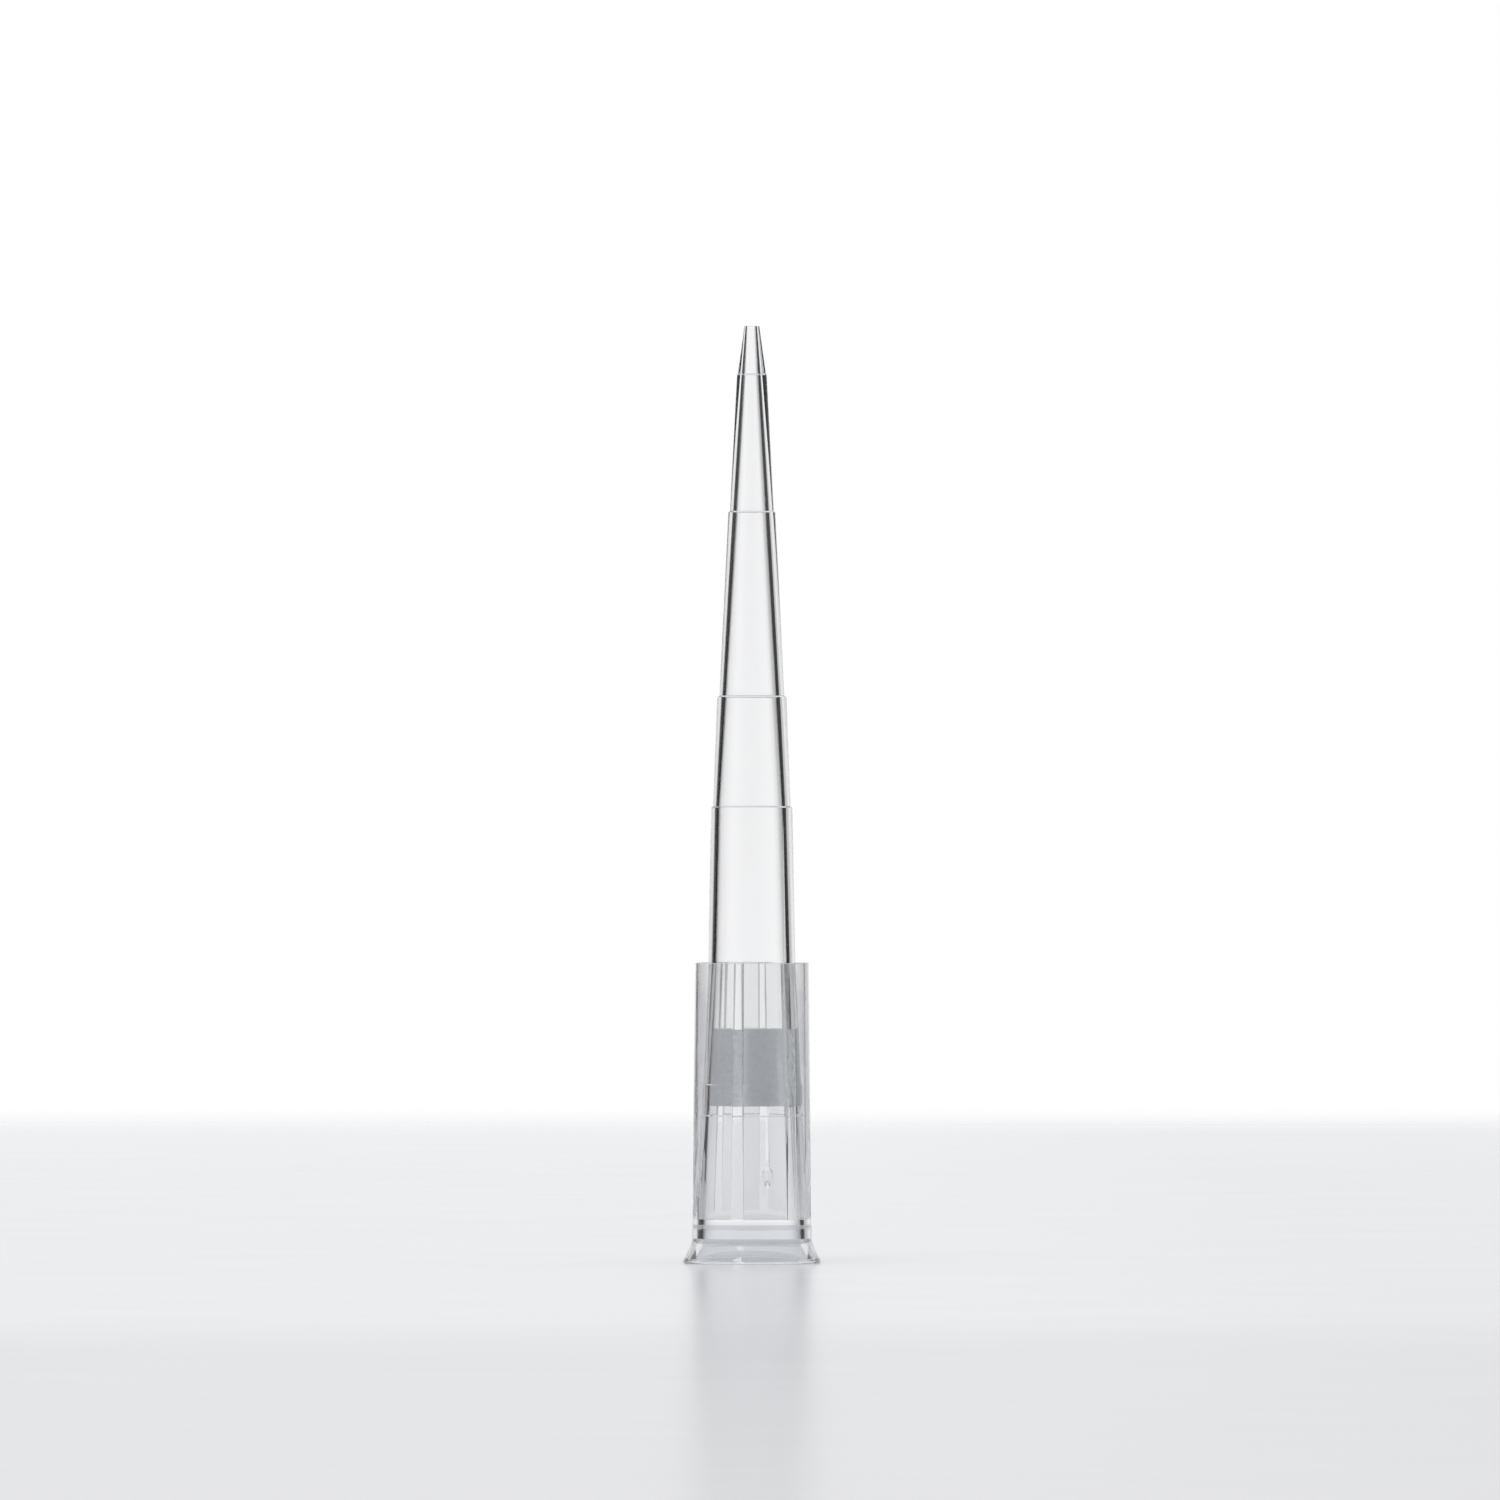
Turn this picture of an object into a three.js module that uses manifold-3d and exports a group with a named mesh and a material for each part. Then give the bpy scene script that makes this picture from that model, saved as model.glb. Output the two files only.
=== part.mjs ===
// A clear filter pipette tip for 200 microlitres, standing on its wide mouth with the orifice up.
// Two pieces: the moulded tip body, and the sintered filter plug pressed into its bore.
// Millimetres, +Z up, with the origin at the middle of the foot, on the tip's axis.
import * as THREE from 'three';
import { mergeVertices } from 'three/addons/utils/BufferGeometryUtils.js';
import Module from 'manifold-3d';

// The tip as a whole. Heights are measured up from the foot, drops down from the orifice.
const TIP_LENGTH = 50;
const STEP_HEIGHT = 0.06;

// The bore, narrow at the orifice and widening in three tapers down to the flared mouth.
const ORIFICE_RADIUS = 0.24;
const NOZZLE_BORE_RADIUS = 1.7;
const SOCKET_DEPTH = 16;
const SOCKET_END_RADIUS = 1.905;
const SOCKET_MOUTH_RADIUS = 2.66;
const MOUTH_FLARE_HEIGHT = 0.95;
const MOUTH_FLARE_WIDTH = 0.42;

// The outside of the nozzle: a fine point, then a wall that steps out at each graduation ring.
const ORIFICE_WALL = 0.16;
const POINT_LENGTH = 2.6;
const POINT_WALL = 0.37;
const POINT_STEP = 0.04;
const NOZZLE_WALL = 0.375;
const GRADUATION_RINGS = [
  { drop: 9.92, step: 0.08 },
  { drop: 19.78, step: 0.11 },
  { drop: 25.68, step: 0.1 },
];

// The socket wall inside the skirt, with two fine rings round it.
const SOCKET_WALL = 0.425;
const SOCKET_FOOT_WALL = 0.4;
const SOCKET_RINGS = [
  { height: 9.5, step: 0.03 },
  { height: 7.85, step: 0.03 },
];

// The skirt, a thin sleeve that stands clear of the socket and joins it near the foot.
const SKIRT_HEIGHT = 16;
const SKIRT_RIM_WALL = 0.11;
const SKIRT_FOOT_WALL = 0.14;
const SKIRT_DRAFT = 0.12;
const GAP_FLOOR_HEIGHT = 2.35;
const GAP_FLOOR_WIDTH = 0.04;

// The ribs that bridge the gap between socket and skirt, thicker towards the foot.
const RIB_COUNT = 6;
const RIB_START_ANGLE = 15;
const RIB_RIM_THICKNESS = 0.37;
const RIB_FLOOR_THICKNESS = 0.7;

// The foot, a slightly wider band below the gap's floor, and the flange that flares out of it.
const FOOT_BAND_DROP = 0.3;
const FOOT_BAND_STEP = 0.03;
const FOOT_BAND_SHOULDER = 0.25;
const FLANGE_HEIGHT = 1.3;
const FLANGE_REACH = 0.48;
const FLANGE_EDGE_HEIGHT = 0.12;
const FOOT_CHAMFER = 0.05;

// The mark that the mould's gate leaves in the skirt: a shallow dimple with a low nub in it.
const GATE_HEIGHT = 4.5;
const GATE_ANGLE = -74.5;
const GATE_WIDTH = 0.64;
const GATE_LENGTH = 1.4;
const GATE_DEPTH = 0.05;
const GATE_NUB_WIDTH = 0.28;
const GATE_NUB_LENGTH = 0.4;
const GATE_NUB_HEIGHT = 0.04;
const GATE_NUB_DROP = 0.22;

// The filter plug and the clearance that it keeps to the bore.
const FILTER_HEIGHT = 8.36;
const FILTER_LENGTH = 4.1;
const FILTER_CLEARANCE = 0.015;

// How finely round forms are divided, and how far a cutter runs past what it cuts.
const ROUND_SEGMENTS = 72;
const FLARE_DIVISIONS = 6;
const GATE_SEGMENTS = 24;
const CUTTER_OVERRUN = 1;

const wasm = await Module();
wasm.setup();

// A closed geometry as a solid that can be joined and cut.
function toSolid(geometry) {
  const bare = geometry.clone();
  bare.deleteAttribute('normal');
  bare.deleteAttribute('uv');
  const welded = mergeVertices(bare);
  return new wasm.Manifold(new wasm.Mesh({
    numProp: 3,
    vertProperties: new Float32Array(welded.attributes.position.array),
    triVerts: new Uint32Array(welded.index.array),
  }));
}

function toGeometry(solid) {
  const mesh = solid.getMesh();
  const geometry = new THREE.BufferGeometry();
  geometry.setAttribute('position', new THREE.BufferAttribute(mesh.vertProperties, 3));
  geometry.setIndex(new THREE.BufferAttribute(mesh.triVerts, 1));
  geometry.computeVertexNormals();
  return geometry;
}

// Revolves an outline of [radius, height] points, listed anticlockwise, round the tip's axis.
function revolve(outline) {
  const points = outline.map(([radius, height]) => new THREE.Vector2(radius, height));
  points.push(points[0].clone());
  return new THREE.LatheGeometry(points, ROUND_SEGMENTS).rotateX(Math.PI / 2);
}

// The radius of a line of [radius, height] stations at one height, by straight interpolation.
function radiusAt(stations, height) {
  const next = stations.findIndex((station) => station[1] >= height);
  const [lowRadius, lowHeight] = stations[Math.max(next - 1, 0)];
  const [highRadius, highHeight] = stations[Math.max(next, 1)];
  const share = (height - lowHeight) / (highHeight - lowHeight);
  return lowRadius + share * (highRadius - lowRadius);
}

// The stations of a small conical step at a ring, wider below it.
function ringStep(height, radiusAbove, step) {
  return [
    [radiusAbove + step, height - STEP_HEIGHT / 2],
    [radiusAbove, height + STEP_HEIGHT / 2],
  ];
}

// The bore from the mouth up to the orifice.
const nozzleBoreHeight = TIP_LENGTH - GRADUATION_RINGS.at(-1).drop;
const boreStations = [
  [SOCKET_MOUTH_RADIUS + MOUTH_FLARE_WIDTH, 0],
  [SOCKET_MOUTH_RADIUS, MOUTH_FLARE_HEIGHT],
  [SOCKET_END_RADIUS, SOCKET_DEPTH],
  [NOZZLE_BORE_RADIUS, nozzleBoreHeight],
  [ORIFICE_RADIUS, TIP_LENGTH],
];
const boreRadius = (height) => radiusAt(boreStations, height);

// The outside of the socket and nozzle, from the floor of the gap up to the orifice.
function socketRing({ height, step }) {
  const wallShare = (height - GAP_FLOOR_HEIGHT) / (SOCKET_DEPTH - GAP_FLOOR_HEIGHT);
  const wall = THREE.MathUtils.lerp(SOCKET_FOOT_WALL, SOCKET_WALL, wallShare);
  return ringStep(height, boreRadius(height) + wall - step / 2, step);
}

function graduationRing({ drop, step }) {
  const height = TIP_LENGTH - drop;
  return ringStep(height, boreRadius(height) + NOZZLE_WALL, step);
}

const pointHeight = TIP_LENGTH - POINT_LENGTH;
const coneStations = [
  [boreRadius(GAP_FLOOR_HEIGHT) + SOCKET_FOOT_WALL, GAP_FLOOR_HEIGHT],
  ...SOCKET_RINGS.toReversed().flatMap(socketRing),
  [SOCKET_END_RADIUS + SOCKET_WALL, SOCKET_DEPTH],
  ...GRADUATION_RINGS.toReversed().flatMap(graduationRing),
  ...ringStep(pointHeight, boreRadius(pointHeight) + POINT_WALL, POINT_STEP),
  [ORIFICE_RADIUS + ORIFICE_WALL, TIP_LENGTH],
];
const coneRadius = (height) => radiusAt(coneStations, height);

// The skirt follows the socket: its inner wall meets the gap's floor just outside the socket.
const skirtFloorRadius = coneRadius(GAP_FLOOR_HEIGHT) + GAP_FLOOR_WIDTH;
const skirtFootRadius = skirtFloorRadius + SKIRT_FOOT_WALL;
const skirtRimRadius = skirtFootRadius - SKIRT_DRAFT;
const skirtRimBore = skirtRimRadius - SKIRT_RIM_WALL;
const footBandTop = GAP_FLOOR_HEIGHT - FOOT_BAND_DROP;
const footBandRadius = skirtFootRadius + FOOT_BAND_STEP;
const flangeRadius = footBandRadius + FLANGE_REACH;

// The flange's concave flare, from its edge up to the foot band.
function flareStations() {
  const middleHeight = (FLANGE_HEIGHT + FLANGE_EDGE_HEIGHT) / 2;
  const flare = new THREE.QuadraticBezierCurve(
    new THREE.Vector2(flangeRadius, FLANGE_EDGE_HEIGHT),
    new THREE.Vector2(footBandRadius + FLANGE_REACH / 3, middleHeight),
    new THREE.Vector2(footBandRadius, FLANGE_HEIGHT),
  );
  return flare.getPoints(FLARE_DIVISIONS).map((point) => [point.x, point.y]);
}

// The body before the gap is cut: foot, flange, skirt, cone and bore in one closed outline.
function solidOutline() {
  const aboveSkirt = coneStations.filter(([, height]) => height > SKIRT_HEIGHT);
  return [
    [flangeRadius - FOOT_CHAMFER, 0],
    [flangeRadius, FOOT_CHAMFER],
    ...flareStations(),
    [footBandRadius, footBandTop - FOOT_BAND_SHOULDER],
    [skirtFootRadius, footBandTop],
    [skirtFootRadius, GAP_FLOOR_HEIGHT],
    [skirtRimRadius, SKIRT_HEIGHT],
    [coneRadius(SKIRT_HEIGHT), SKIRT_HEIGHT],
    ...aboveSkirt,
    ...boreStations.toReversed(),
  ];
}

// The ring of air between socket and skirt, open at the rim.
function gapOutline() {
  const socketSide = coneStations.filter(([, height]) => height < SKIRT_HEIGHT);
  const rimCone = coneRadius(SKIRT_HEIGHT);
  return [
    ...socketSide.slice(0, 1),
    [skirtFloorRadius, GAP_FLOOR_HEIGHT],
    [skirtRimBore, SKIRT_HEIGHT],
    [skirtRimBore, SKIRT_HEIGHT + CUTTER_OVERRUN],
    [rimCone, SKIRT_HEIGHT + CUTTER_OVERRUN],
    [rimCone, SKIRT_HEIGHT],
    ...socketSide.slice(1).toReversed(),
  ];
}

// One rib: a plate that stands on the gap's floor and thins towards the rim, for mould draft.
function ribSolid(index) {
  const floor = GAP_FLOOR_HEIGHT - CUTTER_OVERRUN;
  const top = SKIRT_HEIGHT + 2 * CUTTER_OVERRUN;
  const taper = (RIB_FLOOR_THICKNESS - RIB_RIM_THICKNESS) / (SKIRT_HEIGHT - GAP_FLOOR_HEIGHT);
  const floorHalf = (RIB_FLOOR_THICKNESS + taper * CUTTER_OVERRUN) / 2;
  const topHalf = (RIB_RIM_THICKNESS - 2 * taper * CUTTER_OVERRUN) / 2;
  const section = new THREE.Shape([
    new THREE.Vector2(-floorHalf, floor),
    new THREE.Vector2(floorHalf, floor),
    new THREE.Vector2(topHalf, top),
    new THREE.Vector2(-topHalf, top),
  ]);
  const plate = new THREE.ExtrudeGeometry(section, {
    depth: skirtFootRadius + CUTTER_OVERRUN,
    bevelEnabled: false,
  });
  const angle = THREE.MathUtils.degToRad(RIB_START_ANGLE + index * 360 / RIB_COUNT);
  const outward = new THREE.Vector3(Math.cos(angle), Math.sin(angle), 0);
  const up = new THREE.Vector3(0, 0, 1);
  const across = new THREE.Vector3().crossVectors(up, outward);
  return toSolid(plate.applyMatrix4(new THREE.Matrix4().makeBasis(across, up, outward)));
}

// A flattened ball, for the gate mark, centred at one height and one depth below the skirt's face.
function gateForm(thickness, width, length, height, depth) {
  const share = (GATE_HEIGHT - GAP_FLOOR_HEIGHT) / (SKIRT_HEIGHT - GAP_FLOOR_HEIGHT);
  const radius = THREE.MathUtils.lerp(skirtFootRadius, skirtRimRadius, share);
  const form = new THREE.SphereGeometry(1, GATE_SEGMENTS, GATE_SEGMENTS / 2)
    .scale(thickness, width / 2, length / 2)
    .translate(radius - depth, 0, height)
    .rotateZ(THREE.MathUtils.degToRad(GATE_ANGLE));
  return toSolid(form);
}

function tipBodyGeometry() {
  let gap = toSolid(revolve(gapOutline()));
  for (let index = 0; index < RIB_COUNT; index += 1) {
    gap = gap.subtract(ribSolid(index));
  }
  const nubHeight = GATE_HEIGHT - GATE_NUB_DROP;
  const dimple = gateForm(GATE_DEPTH, GATE_WIDTH, GATE_LENGTH, GATE_HEIGHT, 0);
  const nub = gateForm(GATE_NUB_HEIGHT, GATE_NUB_WIDTH, GATE_NUB_LENGTH, nubHeight, GATE_DEPTH);
  const body = toSolid(revolve(solidOutline())).subtract(gap).subtract(dimple).add(nub);
  return toGeometry(body);
}

// The plug follows the bore's taper, just clear of it all round.
function filterPlugGeometry() {
  const top = FILTER_HEIGHT + FILTER_LENGTH;
  const bends = boreStations.map(([, height]) => height);
  const heights = [FILTER_HEIGHT, ...bends.filter((h) => h > FILTER_HEIGHT && h < top), top];
  return revolve([
    [0, FILTER_HEIGHT],
    ...heights.map((height) => [boreRadius(height) - FILTER_CLEARANCE, height]),
    [0, top],
  ]);
}

function namedMesh(name, geometry, material) {
  const mesh = new THREE.Mesh(geometry, material);
  mesh.name = name;
  return mesh;
}

const clearPolypropylene = new THREE.MeshStandardMaterial({
  color: 0xe6eaee,
  roughness: 0.12,
  metalness: 0,
  transparent: true,
  opacity: 0.35,
});

const sinteredPolyethylene = new THREE.MeshStandardMaterial({
  color: 0xc4c7cb,
  roughness: 0.95,
  metalness: 0,
});

const pipetteTip = new THREE.Group();
pipetteTip.add(namedMesh('tip_body', tipBodyGeometry(), clearPolypropylene));
pipetteTip.add(namedMesh('filter_plug', filterPlugGeometry(), sinteredPolyethylene));

export default pipetteTip;
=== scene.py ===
import math

import bpy
import bmesh
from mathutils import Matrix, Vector


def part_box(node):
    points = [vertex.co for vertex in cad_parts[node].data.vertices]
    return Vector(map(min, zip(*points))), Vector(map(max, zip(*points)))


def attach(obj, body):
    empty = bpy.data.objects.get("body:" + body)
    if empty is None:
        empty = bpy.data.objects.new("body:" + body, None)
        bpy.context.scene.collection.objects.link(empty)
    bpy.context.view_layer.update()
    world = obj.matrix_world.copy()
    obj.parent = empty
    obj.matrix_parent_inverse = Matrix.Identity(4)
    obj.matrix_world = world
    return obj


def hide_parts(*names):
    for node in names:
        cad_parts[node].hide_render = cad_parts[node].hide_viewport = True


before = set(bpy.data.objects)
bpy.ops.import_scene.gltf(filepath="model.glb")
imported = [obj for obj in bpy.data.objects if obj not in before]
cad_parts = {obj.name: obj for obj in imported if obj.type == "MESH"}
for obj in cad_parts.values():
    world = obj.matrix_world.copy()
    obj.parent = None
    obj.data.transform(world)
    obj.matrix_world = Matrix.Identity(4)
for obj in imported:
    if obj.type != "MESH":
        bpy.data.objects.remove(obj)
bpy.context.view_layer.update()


# ---- Tip body ---------------------------------------------------------------------------------
# One injection moulding in clear natural polypropylene: a stepped nozzle cone, the socket that a
# pipette's nozzle plugs, and round the socket a thin skirt that six drafted ribs hold. It stands
# on the flared flange of its mouth. Its sizes are in millimetres.

MM = 0.001
scene = bpy.context.scene
tip_low, tip_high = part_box("tip_body")

TIP_LENGTH = (tip_high.z - tip_low.z) / MM
FLANGE_RADIUS = tip_high.x / MM
FLANGE_EDGE_HEIGHT = 0.12
FLARE_HEIGHT = 1.3
FOOT_BAND_STEP = 0.03
SOCKET_MOUTH_RADIUS = 2.66
SOCKET_MOUTH_FLARE = 0.42
SOCKET_END_RADIUS = 1.905
SOCKET_END_HEIGHT = 16.0
SOCKET_FOOT_WALL = 0.40
SOCKET_END_WALL = 0.425
NOZZLE_BORE_RADIUS = 1.70
FIRST_RING_HEIGHT = 24.32
ORIFICE_RADIUS = 0.24
ORIFICE_WALL = 0.16
GAP_FLOOR_HEIGHT = 2.35
GAP_FLOOR_WIDTH = 0.04
SKIRT_HEIGHT = 16.0
SKIRT_FOOT_WALL = 0.14
SKIRT_RIM_WALL = 0.11
SKIRT_TAPER = 0.12
STEP_HEIGHT = 0.06

# How finely the body is turned, and how its corners are rounded and held.
SMOOTH_TURNS = 192
CORNER_STEPS = 4
CORNER_HOLD = 0.03
CORNER_ROOM = 0.45

# The bore from the mouth up, as [radius, height, corner radius].
BORE = [
    (SOCKET_MOUTH_RADIUS + SOCKET_MOUTH_FLARE, 0.0, 0.04),
    (SOCKET_MOUTH_RADIUS, 0.95, 0.1),
    (SOCKET_END_RADIUS, SOCKET_END_HEIGHT, 0.5),
    (NOZZLE_BORE_RADIUS, FIRST_RING_HEIGHT, 0.5),
    (ORIFICE_RADIUS, TIP_LENGTH, 0.02),
]


def value_at(stations, place):
    """The value of a line of stations at one place along it. A station starts with its value and
    its place, such as a radius and a height."""
    for low, high in zip(stations, stations[1:]):
        if low[1] <= place <= high[1]:
            share = (place - low[1]) / (high[1] - low[1])
            return low[0] + share * (high[0] - low[0])
    raise ValueError(place)


def ring_step(height, wall, step, corner=0.02):
    """A small conical step round the outside, over a wall this thick and wider below it."""
    radius = value_at(BORE, height) + wall
    return [
        (radius + step, height - STEP_HEIGHT / 2, corner),
        (radius, height + STEP_HEIGHT / 2, corner),
    ]


# The outside above the pockets' floor: two small steps on the socket, the three graduation rings,
# and the step to the fine point.
SOCKET_FOOT = value_at(BORE, GAP_FLOOR_HEIGHT) + SOCKET_FOOT_WALL
CONE = [
    (SOCKET_FOOT, GAP_FLOOR_HEIGHT, 0.01),
    *ring_step(7.85, 0.395, 0.06),
    *ring_step(9.5, 0.398, 0.06),
    (SOCKET_END_RADIUS + SOCKET_END_WALL, SOCKET_END_HEIGHT, 0.5),
    *ring_step(FIRST_RING_HEIGHT, 0.375, 0.1),
    *ring_step(30.22, 0.375, 0.11),
    *ring_step(40.08, 0.375, 0.08),
    *ring_step(47.4, 0.37, 0.04),
    (ORIFICE_RADIUS + ORIFICE_WALL, TIP_LENGTH, 0.03),
]
SKIRT_FLOOR = SOCKET_FOOT + GAP_FLOOR_WIDTH
SKIRT_FOOT = SKIRT_FLOOR + SKIRT_FOOT_WALL
FOOT_BAND = SKIRT_FOOT + FOOT_BAND_STEP
SKIRT_RIM = SKIRT_FOOT - SKIRT_TAPER
SKIRT_RIM_BORE = SKIRT_RIM - SKIRT_RIM_WALL
RIM_CONE = value_at(CONE, SKIRT_HEIGHT)


def flare(steps=10):
    """The flange's concave flare, from its edge up to the foot's band."""
    edge = Vector((FLANGE_RADIUS, FLANGE_EDGE_HEIGHT))
    pull = Vector((FOOT_BAND + 0.16, 0.71))
    neck = Vector((FOOT_BAND, FLARE_HEIGHT))
    points = []
    for i in range(steps + 1):
        t = i / steps
        point = (1 - t) ** 2 * edge + 2 * t * (1 - t) * pull + t ** 2 * neck
        points.append((point.x, point.y, 0.05 if i in (0, steps) else 0))
    return points


BODY_OUTLINE = [
    (FLANGE_RADIUS - 0.05, 0.0, 0.03),
    (FLANGE_RADIUS, 0.05, 0.03),
    *flare(),
    (FOOT_BAND, 1.8, 0.05),
    (SKIRT_FOOT, 2.05, 0.05),
    (SKIRT_FOOT, GAP_FLOOR_HEIGHT, 0.3),
    (SKIRT_RIM, SKIRT_HEIGHT, 0.03),
    (RIM_CONE, SKIRT_HEIGHT, 0.0),
    *[station for station in CONE if station[1] > SKIRT_HEIGHT],
    *reversed(BORE),
]

# The gap between skirt and socket. It runs out above the rim, so the pockets are open there.
GAP_TOP = SKIRT_HEIGHT + 1
GAP_OUTLINE = [
    CONE[0],
    (SKIRT_FLOOR, GAP_FLOOR_HEIGHT, 0.01),
    (SKIRT_RIM_BORE, SKIRT_HEIGHT, 0.0),
    (SKIRT_RIM_BORE, GAP_TOP, 0.0),
    (RIM_CONE, GAP_TOP, 0.0),
    (RIM_CONE, SKIRT_HEIGHT, 0.0),
    *reversed([station for station in CONE[1:] if station[1] < SKIRT_HEIGHT]),
]


def rounded(outline):
    """A closed outline with its corners rounded, as a list of 2D points in millimetres. Each round
    corner gets a holding point a little before and after it, so that long faces shade flat."""
    points = []
    count = len(outline)
    for i, (radius, height, corner) in enumerate(outline):
        here = Vector((radius, height))
        before = Vector(outline[i - 1][:2]) - here
        after = Vector(outline[(i + 1) % count][:2]) - here
        if corner == 0:
            points.append(here)
            continue
        half = before.angle(after) / 2
        room = CORNER_ROOM * min(before.length, after.length)
        reach = min(corner / math.tan(half), room)
        corner = reach * math.tan(half)
        into, out = before.normalized(), after.normalized()
        centre = here + (into + out).normalized() * corner / math.sin(half)
        start, end = here + into * reach, here + out * reach
        if reach + CORNER_HOLD < room:
            points.append(start + into * CORNER_HOLD)
        for k in range(CORNER_STEPS + 1):
            turn = (start - centre).lerp(end - centre, k / CORNER_STEPS)
            points.append(centre + turn.normalized() * corner)
        if reach + CORNER_HOLD < room:
            points.append(end + out * CORNER_HOLD)
    return points


def outline_object(name, outlines):
    """A mesh of closed outlines in the XZ plane, each with its number as a point attribute."""
    mesh = bpy.data.meshes.new(name)
    places, edges, numbers = [], [], []
    for number, outline in enumerate(outlines):
        start = len(places)
        points = rounded(outline)
        places += [(p.x * MM, 0, p.y * MM) for p in points]
        edges += [(start + k, start + (k + 1) % len(points)) for k in range(len(points))]
        numbers += [number] * len(points)
    mesh.from_pydata(places, edges, [])
    mesh.attributes.new("outline", "INT", "POINT").data.foreach_set("value", numbers)
    made = bpy.data.objects.new(name, mesh)
    scene.collection.objects.link(made)
    return made


class Nodes:
    """A node tree as it is built. Where a node's input is given another node's socket, the two are
    linked, and where it is given a value, that is set on the input itself."""

    def __init__(self, tree):
        self.tree = tree

    def feed(self, node, inputs):
        for key, value in inputs.items():
            for source in value if isinstance(value, list) else [value]:
                if isinstance(source, bpy.types.NodeSocket):
                    self.tree.links.new(source, node.inputs[key])
                else:
                    node.inputs[key].default_value = source
        return node

    def add(self, kind, inputs=None, **settings):
        node = self.tree.nodes.new(kind)
        for key, value in settings.items():
            setattr(node, key, value)
        return self.feed(node, inputs or {})

    def math(self, operation, *values, **settings):
        inputs = dict(enumerate(values))
        return self.add("ShaderNodeMath", inputs, operation=operation, **settings).outputs[0]

    def lerp(self, share, low, high):
        span = self.math("SUBTRACT", high, low)
        return self.math("MULTIPLY_ADD", share, span, low)

    def split(self, vector):
        return self.add("ShaderNodeSeparateXYZ", {0: vector}).outputs

    def spread(self, value, start, end, low=0.0, high=1.0, **settings):
        """Goes from low to high while the value goes from start to end, and stays there."""
        return self.add("ShaderNodeMapRange", {
            "Value": value, "From Min": start, "From Max": end, "To Min": low, "To Max": high,
        }, **settings).outputs["Result"]

    def blend(self, share, stops, interpolation="LINEAR"):
        """A colour that changes with the share, through stops of [share, colour]."""
        node = self.add("ShaderNodeValToRGB", {"Fac": share})
        node.color_ramp.interpolation = interpolation
        elements = node.color_ramp.elements
        while len(elements) < len(stops):
            elements.new(0.5)
        for element, (at, colour) in zip(elements, stops):
            element.position = at
            element.color = (*colour, 1)
        return node.outputs["Color"]


class ShapeTree(Nodes):
    """A geometry node tree with named inputs and one shape as its output."""

    def __init__(self, name, inputs):
        super().__init__(bpy.data.node_groups.new(name, "GeometryNodeTree"))
        sockets = self.tree.interface
        for label, kind, value in inputs:
            socket = sockets.new_socket(label, in_out="INPUT", socket_type=kind)
            if value is not None:
                socket.default_value = value
        sockets.new_socket("Geometry", in_out="OUTPUT", socket_type="NodeSocketGeometry")
        self.inputs = self.tree.nodes.new("NodeGroupInput").outputs
        self.output = self.tree.nodes.new("NodeGroupOutput").inputs[0]

    def position(self):
        return self.add("GeometryNodeInputPosition").outputs[0]

    def finish(self, socket):
        self.tree.links.new(socket, self.output)
        return self.tree


def revolve_tree():
    """Turns one closed outline in the XZ plane into the surface that it sweeps round Z."""
    t = ShapeTree("revolved outline", [
        ("Geometry", "NodeSocketGeometry", None),
        ("Outline", "NodeSocketInt", 0),
        ("Turns", "NodeSocketInt", SMOOTH_TURNS),
    ])
    number = t.add("GeometryNodeInputNamedAttribute", {"Name": "outline"}, data_type="INT")
    chosen = t.add("FunctionNodeCompare", {2: number.outputs[0], 3: t.inputs["Outline"]},
                   data_type="INT", operation="EQUAL")
    outline = t.add("GeometryNodeSeparateGeometry", {
        "Geometry": t.inputs["Geometry"], "Selection": chosen.outputs[0],
    })
    size = t.add("GeometryNodeAttributeDomainSize", {"Geometry": outline.outputs[0]})
    count = size.outputs["Point Count"]
    grid = t.add("GeometryNodeMeshGrid", {
        "Size X": 1.0, "Size Y": 1.0,
        "Vertices X": t.math("ADD", t.inputs["Turns"], 1), "Vertices Y": t.math("ADD", count, 1),
    })
    place = t.split(t.position())
    turn = t.math("MULTIPLY", t.math("ADD", place["X"], 0.5), math.tau)
    step = t.math("ROUND", t.math("MULTIPLY", t.math("ADD", place["Y"], 0.5), count))
    sample = t.add("GeometryNodeSampleIndex", {
        "Geometry": outline.outputs[0], "Value": t.position(),
        "Index": t.math("MODULO", step, count),
    }, data_type="FLOAT_VECTOR", domain="POINT")
    swept = t.add("ShaderNodeVectorRotate", {"Vector": sample.outputs[0], "Angle": turn},
                  rotation_type="Z_AXIS")
    moved = t.add("GeometryNodeSetPosition", {
        "Geometry": grid.outputs[0], "Position": swept.outputs[0],
    })
    welded = t.add("GeometryNodeMergeByDistance", {"Geometry": moved.outputs[0], "Distance": 1e-7})
    return t.finish(welded.outputs[0])


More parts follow.
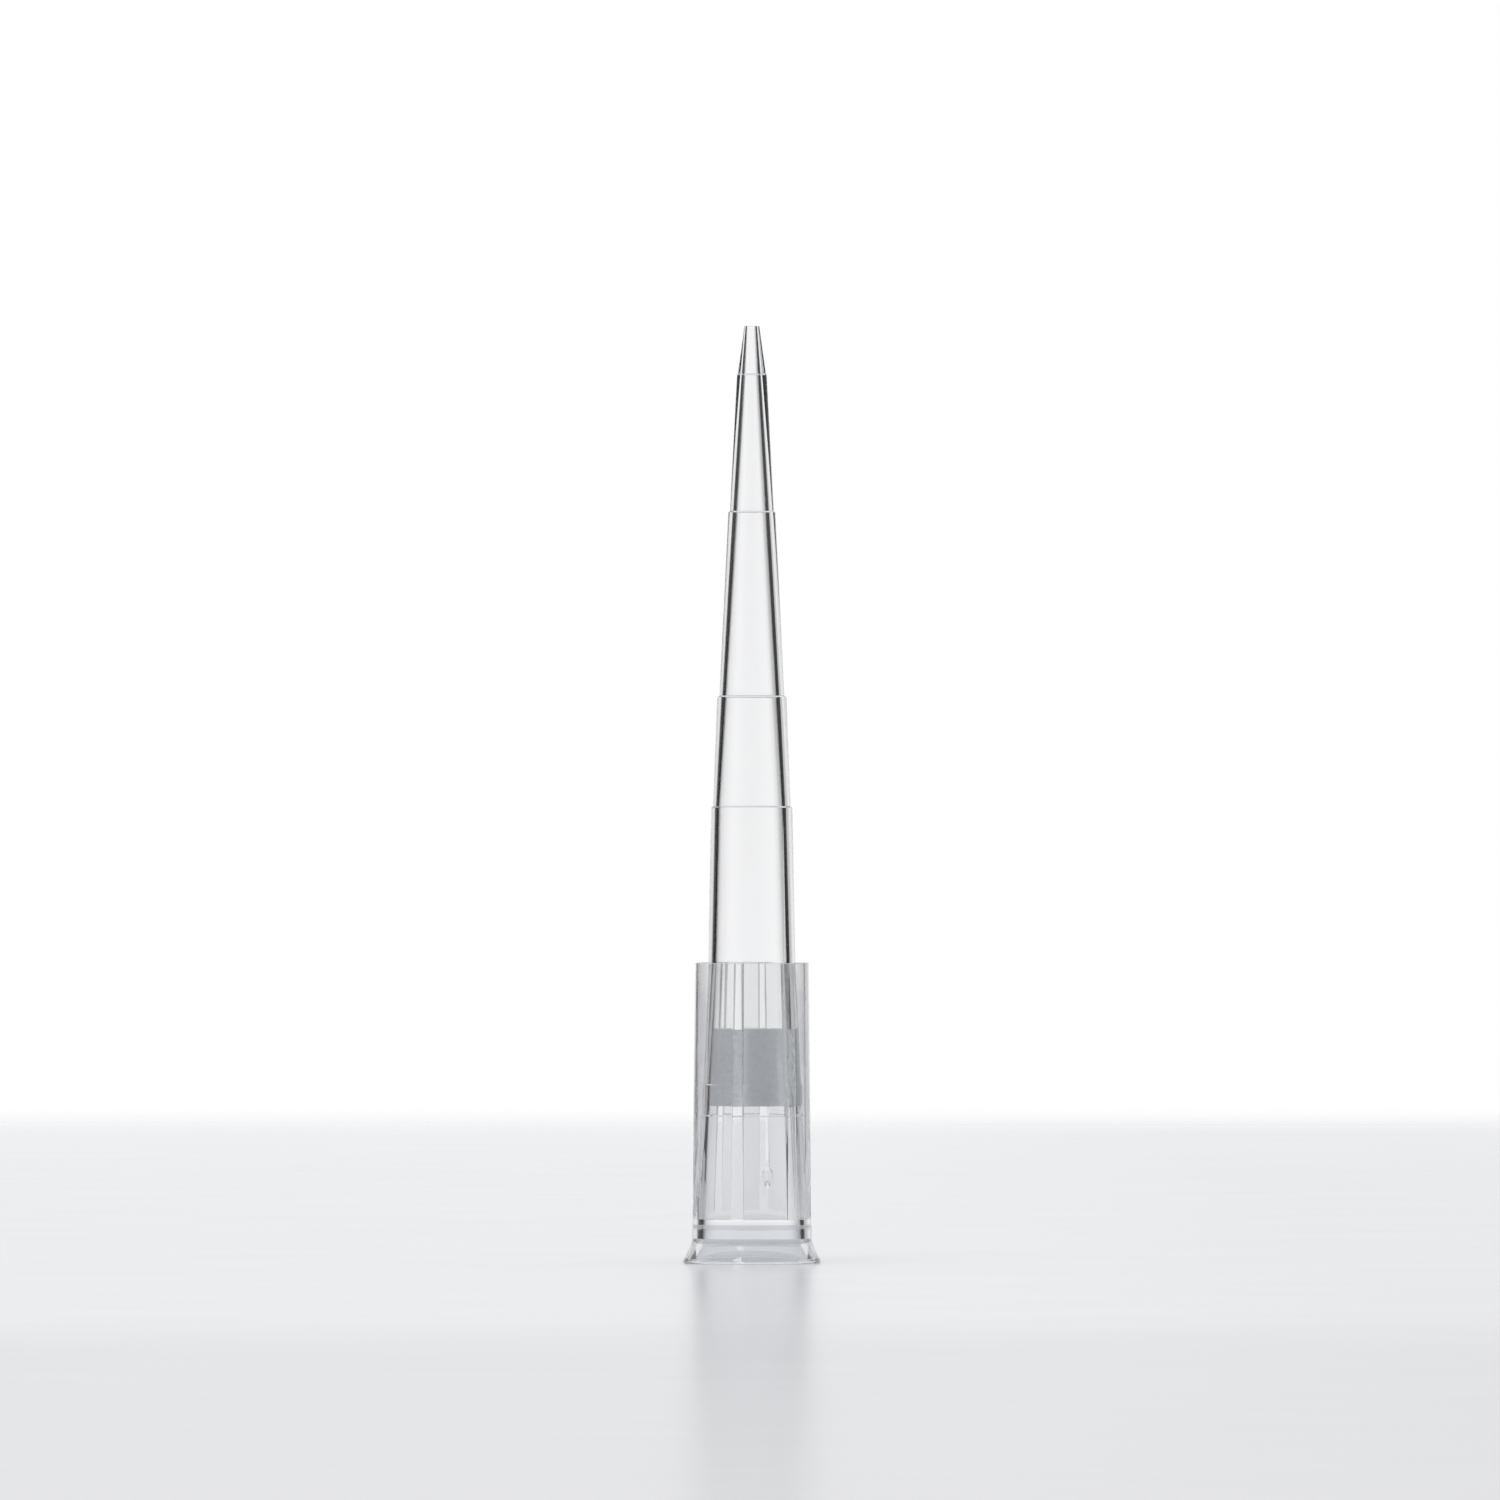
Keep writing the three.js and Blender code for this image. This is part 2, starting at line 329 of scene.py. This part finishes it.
def rib_tree():
    """Drafted plates that stand round Z, thicker at the foot than at the rim."""
    t = ShapeTree("drafted ribs", [
        ("Count", "NodeSocketInt", 6),
        ("Start Angle", "NodeSocketFloat", 0.0),
        ("Foot Height", "NodeSocketFloat", 0.0),
        ("Rim Height", "NodeSocketFloat", 0.0),
        ("Foot Thickness", "NodeSocketFloat", 0.0),
        ("Rim Thickness", "NodeSocketFloat", 0.0),
        ("Inner Radius", "NodeSocketFloat", 0.0),
        ("Outer Radius", "NodeSocketFloat", 0.0),
    ])
    cube = t.add("GeometryNodeMeshCube", {"Size": (1, 1, 1)})
    place = t.split(t.position())
    rise = t.math("ADD", place["Z"], 0.5)
    out = t.math("ADD", place["X"], 0.5)
    thickness = t.lerp(rise, t.inputs["Foot Thickness"], t.inputs["Rim Thickness"])
    target = t.add("ShaderNodeCombineXYZ", {
        "X": t.lerp(out, t.inputs["Inner Radius"], t.inputs["Outer Radius"]),
        "Y": t.math("MULTIPLY", place["Y"], thickness),
        "Z": t.lerp(rise, t.inputs["Foot Height"], t.inputs["Rim Height"]),
    })
    plate = t.add("GeometryNodeSetPosition", {
        "Geometry": cube.outputs[0], "Position": target.outputs[0],
    })
    points = t.add("GeometryNodePoints", {"Count": t.inputs["Count"], "Position": (0, 0, 0)})
    index = t.add("GeometryNodeInputIndex").outputs[0]
    pitch = t.math("DIVIDE", math.tau, t.inputs["Count"])
    angle = t.math("MULTIPLY_ADD", index, pitch, t.inputs["Start Angle"])
    placed = t.add("GeometryNodeInstanceOnPoints", {
        "Points": points.outputs[0], "Instance": plate.outputs[0],
        "Rotation": t.add("ShaderNodeCombineXYZ", {"Z": angle}).outputs[0],
    })
    return t.finish(t.add("GeometryNodeRealizeInstances", {0: placed.outputs[0]}).outputs[0])


# How grained the mould leaves the pockets: the skirt's wall, the socket's wall and the ribs.
SKIRT_GRAIN = 0.3
SOCKET_GRAIN = 1.0
RIB_GRAIN = 2.0
FACING = 0.5

# How grained the mould leaves the foot: [lowest, highest, inner radius, outer radius, grain].
FOOT_GRAINS = [
    (0.05, 0.9, 2.62, 3.11, 1.0),
    (1.8, 2.05, 3.12, 3.3, 1.0),
]


def tip_body_tree(revolve, ribs):
    """The whole moulding: the body's outline revolved, less the pockets that the ribs leave in
    the gap, less the gate's dimple, with creases kept sharp."""
    t = ShapeTree("pipette tip body", [
        ("Geometry", "NodeSocketGeometry", None),
        ("Turns", "NodeSocketInt", SMOOTH_TURNS),
        ("Rib Count", "NodeSocketInt", 6),
        ("Rib Start Angle", "NodeSocketFloat", 0.0),
        ("Rib Foot Thickness", "NodeSocketFloat", 0.0),
        ("Rib Rim Thickness", "NodeSocketFloat", 0.0),
        ("Rib Foot Height", "NodeSocketFloat", 0.0),
        ("Rib Rim Height", "NodeSocketFloat", 0.0),
        ("Rib Inner Radius", "NodeSocketFloat", 0.0),
        ("Rib Outer Radius", "NodeSocketFloat", 0.0),
        ("Gate Place", "NodeSocketVector", (0, 0, 0)),
        ("Gate Turn", "NodeSocketFloat", 0.0),
        ("Gate Tilt", "NodeSocketFloat", 0.0),
        ("Gate Size", "NodeSocketVector", (0, 0, 0)),
        ("Nub Place", "NodeSocketVector", (0, 0, 0)),
        ("Nub Size", "NodeSocketVector", (0, 0, 0)),
        ("Crease Angle", "NodeSocketFloat", 0.0),
        ("Material", "NodeSocketMaterial", None),
    ])

    def revolved(number):
        return t.add("GeometryNodeGroup", {
            "Geometry": t.inputs["Geometry"], "Outline": number, "Turns": t.inputs["Turns"],
        }, node_tree=revolve).outputs[0]

    def marked(shape, grain):
        return t.add("GeometryNodeStoreNamedAttribute", {
            "Geometry": shape, "Name": "grain", "Value": grain,
        }, data_type="FLOAT", domain="FACE").outputs[0]

    place = t.split(t.position())
    radius = t.math("SQRT", t.math(
        "ADD", t.math("POWER", place["X"], 2), t.math("POWER", place["Y"], 2)))
    foot_grain = 0.0
    for low, high, inner, outer, grain in FOOT_GRAINS:
        level = t.math("COMPARE", place["Z"], (low + high) / 2 * MM, (high - low) / 2 * MM)
        ring = t.math("COMPARE", radius, (inner + outer) / 2 * MM, (outer - inner) / 2 * MM)
        foot_grain = t.math("MULTIPLY_ADD", t.math("MULTIPLY", level, ring), grain, foot_grain)

    # How far a wall faces away from the axis tells the skirt's, the socket's and the ribs' apart.
    normal = t.split(t.add("GeometryNodeInputNormal").outputs[0])
    along_y = t.math("MULTIPLY", place["Y"], normal["Y"])
    along = t.math("MULTIPLY_ADD", place["X"], normal["X"], along_y)
    outward = t.math("DIVIDE", along, radius)
    skirt = t.math("GREATER_THAN", outward, FACING)
    socket = t.math("LESS_THAN", outward, -FACING)
    rib = t.math("LESS_THAN", t.math("ABSOLUTE", outward), FACING)
    wall_grain = t.math(
        "MULTIPLY_ADD", skirt, SKIRT_GRAIN, t.math("MULTIPLY", socket, SOCKET_GRAIN))
    pocket_grain = t.math("MULTIPLY_ADD", rib, RIB_GRAIN, wall_grain)

    ball = t.add("GeometryNodeMeshUVSphere", {"Segments": 48, "Rings": 32, "Radius": 1.0})
    turned = t.add("ShaderNodeCombineXYZ", {"Y": t.inputs["Gate Tilt"], "Z": t.inputs["Gate Turn"]})

    def gate_form(name):
        return t.add("GeometryNodeTransform", {
            "Geometry": ball.outputs[0], "Translation": t.inputs[name + " Place"],
            "Rotation": turned.outputs[0], "Scale": t.inputs[name + " Size"],
        }).outputs[0]

    plates = t.add("GeometryNodeGroup", {
        name: t.inputs["Rib " + name]
        for name in ("Count", "Start Angle", "Foot Height", "Rim Height", "Foot Thickness",
                     "Rim Thickness", "Inner Radius", "Outer Radius")
    }, node_tree=ribs).outputs[0]
    pockets = t.add("GeometryNodeMeshBoolean", {"Mesh 1": revolved(1), "Mesh 2": plates},
                    operation="DIFFERENCE", solver="MANIFOLD")
    moulded = t.add("GeometryNodeMeshBoolean", {
        "Mesh 1": marked(revolved(0), foot_grain),
        "Mesh 2": [marked(pockets.outputs[0], pocket_grain), marked(gate_form("Gate"), 0.0)],
    }, operation="DIFFERENCE", solver="MANIFOLD")
    nubbed = t.add("GeometryNodeMeshBoolean", {
        "Mesh 2": [moulded.outputs[0], marked(gate_form("Nub"), 0.0)],
    }, operation="UNION", solver="MANIFOLD")
    smooth = t.add("GeometryNodeSetShadeSmooth", {
        "Geometry": nubbed.outputs[0], "Shade Smooth": True,
    }, domain="FACE")
    bend = t.add("GeometryNodeInputMeshEdgeAngle").outputs["Unsigned Angle"]
    creased = t.add("GeometryNodeSetShadeSmooth", {
        "Geometry": smooth.outputs[0], "Shade Smooth": False,
        "Selection": t.math("GREATER_THAN", bend, t.inputs["Crease Angle"]),
    }, domain="EDGE")
    whole = t.add("GeometryNodeRealizeInstances", {0: creased.outputs[0]})
    finished = t.add("GeometryNodeSetMaterial", {
        "Geometry": whole.outputs[0], "Material": t.inputs["Material"],
    })
    return t.finish(finished.outputs[0])


def baked(made, tree, values):
    """Runs a node tree on an object with these input values, and leaves the result as its mesh."""
    modifier = made.modifiers.new("build", "NODES")
    modifier.node_group = tree
    for item in tree.interface.items_tree:
        if item.item_type == "SOCKET" and item.in_out == "INPUT" and item.name in values:
            modifier[item.identifier] = values[item.name]
    bpy.context.view_layer.update()
    depsgraph = bpy.context.evaluated_depsgraph_get()
    shape = bpy.data.meshes.new_from_object(made.evaluated_get(depsgraph))
    made.modifiers.clear()
    made.data = shape
    return made


# The plastic's faint colour at each height, painted darker over the thick foot's lowest few
# millimetres as painted shade for the shadowed table seen through it: [height, colour].
PLASTIC_TINT_AND_FOOT_SHADE = [
    (1.0, (0.79, 0.803, 0.828)),
    (1.35, (0.85, 0.862, 0.882)),
    (1.9, (0.85, 0.862, 0.882)),
    (2.35, (0.974, 0.976, 0.981)),
]
PLASTIC_IOR = 1.49
SPOTS_PER_METRE = 90000.0
POLISHED, ERODED = 0.02, 0.4
POCKET_POLISHED_TO, POCKET_ERODED_FROM = 6.0, 9.0


def new_finish(name):
    """A new material, its nodes and its surface shader."""
    material = bpy.data.materials.new(name)
    material.use_nodes = True
    return material, Nodes(material.node_tree), material.node_tree.nodes["Principled BSDF"]


def clear_polypropylene():
    """Clear moulded plastic: polished where it is seen, finely grained in the narrow pockets, whose
    walls the mould leaves as they were eroded."""
    material, n, shader = new_finish("clear polypropylene")
    place = n.add("ShaderNodeTexCoord").outputs["Object"]
    height = n.split(place)["Z"]
    noise = n.add("ShaderNodeTexNoise", {"Vector": place, "Scale": SPOTS_PER_METRE, "Detail": 2.0})
    spots = n.spread(noise.outputs["Fac"], 0.58, 0.62, POLISHED, ERODED)
    grain = n.add("ShaderNodeAttribute", attribute_name="grain").outputs["Fac"]
    pocket = n.spread(height, POCKET_POLISHED_TO * MM, POCKET_ERODED_FROM * MM)
    foot = n.math("LESS_THAN", height, GAP_FLOOR_HEIGHT * MM)
    eroded = n.math("MAXIMUM", pocket, foot)
    # Painted shade: the base colour darkens over the foot, towards the table.
    tint_and_foot_shade = n.blend(n.spread(height, 0.0, GAP_FLOOR_HEIGHT * MM),
                   [(at / GAP_FLOOR_HEIGHT, colour) for at, colour in PLASTIC_TINT_AND_FOOT_SHADE])
    n.feed(shader, {
        "Transmission Weight": 1.0,
        "IOR": PLASTIC_IOR,
        "Roughness": n.math("MULTIPLY", n.math("MULTIPLY", spots, grain), eroded),
        "Base Color": tint_and_foot_shade,
    })
    return material


RIB_COUNT = 6
RIB_START_ANGLE = math.radians(15)
RIB_FOOT_THICKNESS = 0.70
RIB_RIM_THICKNESS = 0.37
RIB_OVERRUN = 0.5
rib_taper = (RIB_FOOT_THICKNESS - RIB_RIM_THICKNESS) / (SKIRT_HEIGHT - GAP_FLOOR_HEIGHT)

# The gate's shallow dimple on the skirt, and the nub of plastic left in it.
GATE_ANGLE = math.radians(-74.5)
GATE_HEIGHT = 4.5
GATE_TILT = math.radians(-5)
NUB_DEPTH = 0.05
NUB_DROP = 0.26
gate_radius = value_at(
    [(SKIRT_FOOT, GAP_FLOOR_HEIGHT), (SKIRT_RIM, SKIRT_HEIGHT)], GATE_HEIGHT)


def gate_place(radius, height):
    return radius * math.cos(GATE_ANGLE) * MM, radius * math.sin(GATE_ANGLE) * MM, height * MM


CREASE_ANGLE = math.radians(20)
tip_body = outline_object("clear_tip", [BODY_OUTLINE, GAP_OUTLINE])
baked(tip_body, tip_body_tree(revolve_tree(), rib_tree()), {
    "Turns": SMOOTH_TURNS,
    "Rib Count": RIB_COUNT,
    "Rib Start Angle": RIB_START_ANGLE,
    "Rib Foot Thickness": (RIB_FOOT_THICKNESS + rib_taper * RIB_OVERRUN) * MM,
    "Rib Rim Thickness": (RIB_RIM_THICKNESS - rib_taper * (1 + RIB_OVERRUN)) * MM,
    "Rib Foot Height": (GAP_FLOOR_HEIGHT - RIB_OVERRUN) * MM,
    "Rib Rim Height": (GAP_TOP + RIB_OVERRUN) * MM,
    "Rib Inner Radius": 2.1 * MM,
    "Rib Outer Radius": (SKIRT_FOOT + RIB_OVERRUN) * MM,
    "Gate Turn": GATE_ANGLE,
    "Gate Tilt": GATE_TILT,
    "Gate Place": gate_place(gate_radius, GATE_HEIGHT),
    "Gate Size": (0.06 * MM, 0.32 * MM, 0.7 * MM),
    "Nub Place": gate_place(gate_radius - NUB_DEPTH, GATE_HEIGHT - NUB_DROP),
    "Nub Size": (0.11 * MM, 0.14 * MM, 0.2 * MM),
    "Crease Angle": CREASE_ANGLE,
    "Material": clear_polypropylene(),
})

# The long core pin bowed a little in the mould, so above the filter the bore lies nearer one side,
# and what lies within its skin moves with it: [how far aside, height].
CORE_BOW = [
    (0.0, 0.0), (0.0, 12.5), (-0.05, 19.0), (-0.047, 34.0), (-0.03, 40.0), (-0.025, TIP_LENGTH),
]
BORE_SKIN = 0.06
for point in tip_body.data.vertices:
    height = min(max(point.co.z / MM, 0.0), TIP_LENGTH)
    if point.co.xy.length / MM < value_at(BORE, height) + BORE_SKIN:
        point.co.x += value_at(CORE_BOW, height) * MM

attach(tip_body, "root")
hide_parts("tip_body")


# ---- Filter plug ------------------------------------------------------------------------------
# A short plug of sintered polyethylene beads, pale and matt. It is pressed into the socket's taper
# and held there by friction.

PLUG_CLEARANCE = 0.012
BEADS_PER_METRE = 6500.0
CLUMPS_PER_METRE = 4500.0
BEAD_GAP_SHADE_AND_TONE = (0.845, 0.885, 0.92, 1)
BEAD_WHITE = (0.94, 0.975, 1.0, 1)
BEAD_DEPTH = 0.03 * MM


def sintered_polyethylene():
    """Matt and pale, a little darker between its beads as painted shade, and paler and darker at
    random from clump to clump.
    """
    material, n, shader = new_finish("sintered polyethylene")
    place = n.add("ShaderNodeTexCoord").outputs["Object"]
    beads = n.add("ShaderNodeTexVoronoi", {"Vector": place, "Scale": BEADS_PER_METRE})
    clumps = n.add("ShaderNodeTexNoise", {
        "Vector": place, "Scale": CLUMPS_PER_METRE, "Detail": 3.0,
    })
    # Painted shade between the beads, where a point lies far from a bead's centre, plus the clumps'
    # random noise.
    shade = n.math("MULTIPLY_ADD", beads.outputs["Distance"], -0.35, clumps.outputs["Fac"])
    white = n.add("ShaderNodeMix", {
        "Factor": n.spread(shade, 0.1, 0.45), 6: BEAD_GAP_SHADE_AND_TONE, 7: BEAD_WHITE,
    }, data_type="RGBA")
    bump = n.add("ShaderNodeBump", {
        "Height": beads.outputs["Distance"], "Strength": 0.6, "Distance": BEAD_DEPTH,
    }, invert=True)
    n.feed(shader, {
        "Roughness": 0.95,
        "Base Color": white.outputs[2],
        "Normal": bump.outputs[0],
    })
    return material


def plug_mesh(low, high, turns=240, rows=80):
    """A plug that follows the bore's taper between two heights, with flat ends."""
    mesh = bpy.data.meshes.new("filter")
    shape = bmesh.new()
    rings = []
    for row in range(rows + 1):
        height = low + (high - low) * row / rows
        radius = value_at(BORE, height) - PLUG_CLEARANCE
        ring = []
        for turn in range(turns):
            angle = math.tau * turn / turns
            place = Vector((math.cos(angle) * radius, math.sin(angle) * radius, height))
            ring.append(shape.verts.new(place * MM))
        rings.append(ring)
    for lower, upper in zip(rings, rings[1:]):
        for k in range(turns):
            n = (k + 1) % turns
            shape.faces.new((lower[k], lower[n], upper[n], upper[k]))
    shape.faces.new(rings[-1])
    shape.faces.new(list(reversed(rings[0])))
    shape.to_mesh(mesh)
    shape.free()
    return mesh


plug_low, plug_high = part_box("filter_plug")
filter_plug = bpy.data.objects.new("filter", plug_mesh(plug_low.z / MM, plug_high.z / MM))
filter_plug.data.materials.append(sintered_polyethylene())
scene.collection.objects.link(filter_plug)
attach(filter_plug, "root")
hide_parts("filter_plug")


# ---- Table ------------------------------------------------------------------------------------
# A pale, slightly glossy table top, faintly mottled, with painted shade that makes it darker
# towards the front and to the right of the tip. Its far edge melts into the white backdrop, and it
# is seen from above only.

TABLE_HALF = 0.45
TABLE_DROP = 0.01 * MM
TABLE_ROUGHNESS = 0.23

# The table top's grey from front to back, with painted shade that darkens it towards the front:
# [how far behind the tip, grey].
TABLE_GREY_AND_SHADE = [
    (-0.334, 0.575), (-0.248, 0.58), (-0.14, 0.585), (-0.075, 0.68), (0.033, 0.695), (0.18, 0.715),
    (0.315, 0.75),
]
SHADED_GREY_FRONT, SHADED_GREY_BACK = TABLE_GREY_AND_SHADE[0][0], TABLE_GREY_AND_SHADE[-1][0]
COOL = (1.0, 1.012, 1.06)
# Painted shade: the table is darker to the right of the tip, from the first distance to the second,
# down to this share.
RIGHT_START, RIGHT_END, RIGHT_SHADE = 0.008, 0.032, 0.92
MOTTLE_SCALE = 90.0
MOTTLE = 0.06

# The table fades out over a rounded rectangle round a point a little before the tip.
FADE_MIDDLE = -0.0325
FADE_HALF_WIDTH = 0.25
FADE_HALF_DEPTH = 0.397


def table_top():
    material, n, shader = new_finish("pale table top")
    place = n.add("ShaderNodeTexCoord").outputs["Object"]
    across = n.split(place)
    # Painted shade: the grey darkens towards the front.
    grey_and_painted_shade = n.blend(n.spread(across["Y"], SHADED_GREY_FRONT, SHADED_GREY_BACK), [
        ((y - SHADED_GREY_FRONT) / (SHADED_GREY_BACK - SHADED_GREY_FRONT), [grey * part for part in COOL])
        for y, grey in TABLE_GREY_AND_SHADE
    ], "EASE")
    # Painted shade: darker to the right of the tip.
    right = n.spread(across["X"], RIGHT_START, RIGHT_END, 1.0, RIGHT_SHADE)
    noise = n.add("ShaderNodeTexNoise", {"Vector": place, "Scale": MOTTLE_SCALE, "Detail": 4.0})
    mottled = n.math("MULTIPLY_ADD", noise.outputs["Fac"], MOTTLE, right)
    colour = n.add("ShaderNodeVectorMath", {0: grey_and_painted_shade, "Scale": mottled}, operation="SCALE")

    def fourth_power(distance, half):
        share = n.math("ABSOLUTE", n.math("DIVIDE", distance, half))
        return n.math("POWER", share, 4)

    reach = n.math("POWER", n.math(
        "ADD", fourth_power(across["X"], FADE_HALF_WIDTH),
        fourth_power(n.math("SUBTRACT", across["Y"], FADE_MIDDLE), FADE_HALF_DEPTH)), 0.25)
    fade = n.spread(reach, 0.85, 1.15, 1.0, 0.0, interpolation_type="SMOOTHSTEP")
    below = n.add("ShaderNodeNewGeometry").outputs["Backfacing"]
    n.feed(shader, {
        "Roughness": TABLE_ROUGHNESS,
        "Base Color": colour.outputs[0],
        "Alpha": n.math("SUBTRACT", fade, below, use_clamp=True),
    })
    return material


table_mesh = bpy.data.meshes.new("table")
table_mesh.from_pydata([
    (x * TABLE_HALF, y * TABLE_HALF, -TABLE_DROP) for x, y in ((-1, -1), (1, -1), (1, 1), (-1, 1))
], [], [(0, 1, 2, 3)])
table_mesh.materials.append(table_top())
table = bpy.data.objects.new("table", table_mesh)
scene.collection.objects.link(table)


# ---- Camera -----------------------------------------------------------------------------------
# A long lens on a low stand, level with the middle of the tip and aimed a little above it. The
# frame is 1.6 times as tall as the tip.

tip_height = TIP_LENGTH * MM
SENSOR_WIDTH = 36
FRAME_TO_TIP = 1.6017
CAMERA_DISTANCE = 0.8
CAMERA_PITCH = math.radians(-0.24)
AIM_HEIGHT = 0.5472 * tip_height
AIM_SIDE = -0.002 * tip_height

camera_data = bpy.data.cameras.new("camera")
camera_data.sensor_width = SENSOR_WIDTH
camera_data.lens = SENSOR_WIDTH * CAMERA_DISTANCE / (FRAME_TO_TIP * tip_height)
camera_data.clip_start = 0.05
camera_data.clip_end = 30
camera = bpy.data.objects.new("camera", camera_data)
scene.collection.objects.link(camera)
camera_back = Vector((0, -math.cos(CAMERA_PITCH), math.sin(CAMERA_PITCH)))
camera.location = Vector((AIM_SIDE, 0, AIM_HEIGHT)) + CAMERA_DISTANCE * camera_back
camera.rotation_euler = (math.radians(90) - CAMERA_PITCH, 0, 0)
scene.camera = camera


# ---- Studio light -----------------------------------------------------------------------------
# White surroundings for what is seen, mirrored or seen through the plastic, and a soft even light
# on the object. Dark and pale cards stand clear of the backdrop, so that the clear plastic shows
# its edges, as in a bright-field light tent.

SOFT_LIGHT = 0.87

# How bright the surroundings are for light that has bounced off something matt: more than white,
# which makes up for what the plastic round the filter keeps back, and lightens the foot's shadow.
FILL = 1.5


def bounced(n, path):
    """One for light that has bounced off something matt, and nought for light that hasn't. Such
    light meets the fill on every side, and no card."""
    return n.math("MINIMUM", path["Diffuse Depth"], 1.0)


world = bpy.data.worlds.new("studio")
world.use_nodes = True
world.node_tree.nodes.clear()
scene.world = world
n = Nodes(world.node_tree)
path = n.add("ShaderNodeLightPath").outputs
seen = n.math("MAXIMUM", path["Is Camera Ray"], path["Is Glossy Ray"])
white = n.add("ShaderNodeBackground", {
    "Color": n.math("MULTIPLY_ADD", bounced(n, path), FILL - 1.0, 1.0), "Strength": 1.0,
})
soft = n.add("ShaderNodeBackground", {"Color": (1, 1, 1, 1), "Strength": SOFT_LIGHT})
surroundings = n.add("ShaderNodeMixShader", {
    "Fac": n.math("MAXIMUM", seen, path["Is Transmission Ray"]),
    1: soft.outputs[0], 2: white.outputs[0],
})
n.add("ShaderNodeOutputWorld", {"Surface": surroundings.outputs[0]})


def studio_cards():
    """Shines as each point's own shade says, from black to white."""
    material = bpy.data.materials.new("studio cards")
    material.use_nodes = True
    material.node_tree.nodes.clear()
    n = Nodes(material.node_tree)
    path = n.add("ShaderNodeLightPath").outputs
    shade = n.add("ShaderNodeAttribute", attribute_name="shade").outputs["Fac"]
    fill = n.math("MULTIPLY", bounced(n, path), FILL)
    shine = n.add("ShaderNodeEmission", {"Color": n.math("MAXIMUM", fill, shade)})
    n.add("ShaderNodeOutputMaterial", {"Surface": shine.outputs[0]})
    return material


card_finish = studio_cards()


def card(name, places, shades):
    """A strip of card with a pair of places at each step along it, each step with its shade. Only
    light through the plastic, and mirrored light, meets it."""
    mesh = bpy.data.meshes.new(name)
    mesh.from_pydata(places, [], [
        (2 * k, 2 * k + 1, 2 * k + 3, 2 * k + 2) for k in range(len(shades) - 1)])
    pairs = [shade for shade in shades for _ in range(2)]
    mesh.attributes.new("shade", "FLOAT", "POINT").data.foreach_set("value", pairs)
    mesh.materials.append(card_finish)
    made = bpy.data.objects.new(name, mesh)
    scene.collection.objects.link(made)
    made.visible_camera = False
    made.visible_diffuse = False
    made.visible_shadow = False
    made.visible_volume_scatter = False
    return made


# The studio's sides stand round the tip and turn with the camera's stand. They are white behind
# the tip, black to its left and right, and grey in front: [shade, degrees from straight behind].
SIDE_DISTANCE = 6.0
SIDE_HALF_HEIGHT = 1.6
SIDE_SHADES = [
    (0.32, -180), (0.4, -170), (0.48, -154), (0.64, -134), (0.59, -118), (0.47, -104), (0.5, -98),
    (0.67, -92), (0.5, -86), (0.25, -78), (0.12, -72), (0.0, -64), (0.0, -35), (0.1, -32),
    (0.5, -28), (0.78, -23), (0.95, -18), (1.0, -12), (1.0, 12), (0.9, 18), (0.65, 23),
    (0.5, 32), (0.5, 36), (0.0, 39), (0.0, 75), (0.4, 84), (0.65, 94), (0.8, 102), (0.75, 110),
    (0.66, 122), (0.47, 134), (0.37, 150), (0.32, 180),
]
side_places, side_shades = [], []
for degrees in range(-180, 181):
    turn = math.radians(degrees)
    x = SIDE_DISTANCE * math.sin(turn)
    z = -CAMERA_DISTANCE - SIDE_DISTANCE * math.cos(turn)
    side_places += [(x, -SIDE_HALF_HEIGHT, z), (x, SIDE_HALF_HEIGHT, z)]
    side_shades.append(value_at(SIDE_SHADES, degrees))
card("studio_sides", side_places, side_shades).parent = camera

# Two black flags lie on the table, behind the tip to its left and right, for the edges of its foot.
FLAG_NEAR = 0.12
FLAG_FAR = 0.42
FLAG_LIFT = 0.02 * MM
for name, first, last in ("flag_left", -72, -52), ("flag_right", 46, 62):
    flag_places = []
    for degrees in range(first, last + 1):
        turn = math.radians(degrees)
        for reach in (FLAG_NEAR, FLAG_FAR):
            flag_places.append((reach * math.sin(turn), reach * math.cos(turn), FLAG_LIFT))
    card(name, flag_places, [0.0] * (last + 1 - first)).visible_glossy = False

# One weak soft lamp, high on the left, gives the tip its shadow.
softbox = bpy.data.lights.new("softbox", "AREA")
softbox.shape = "SQUARE"
softbox.size = 0.3
softbox.energy = 1.8
softbox_stand = bpy.data.objects.new("softbox", softbox)
softbox_stand.location = (-0.45, -0.7, 1.2)
softbox_stand.rotation_euler = (-softbox_stand.location).to_track_quat("-Z", "Y").to_euler()
scene.collection.objects.link(softbox_stand)

# Light crosses many thin walls of plastic before it leaves.
scene.cycles.max_bounces = 32
scene.cycles.transmission_bounces = 32
scene.cycles.glossy_bounces = 24
scene.cycles.diffuse_bounces = 8
scene.view_settings.view_transform = "Standard"
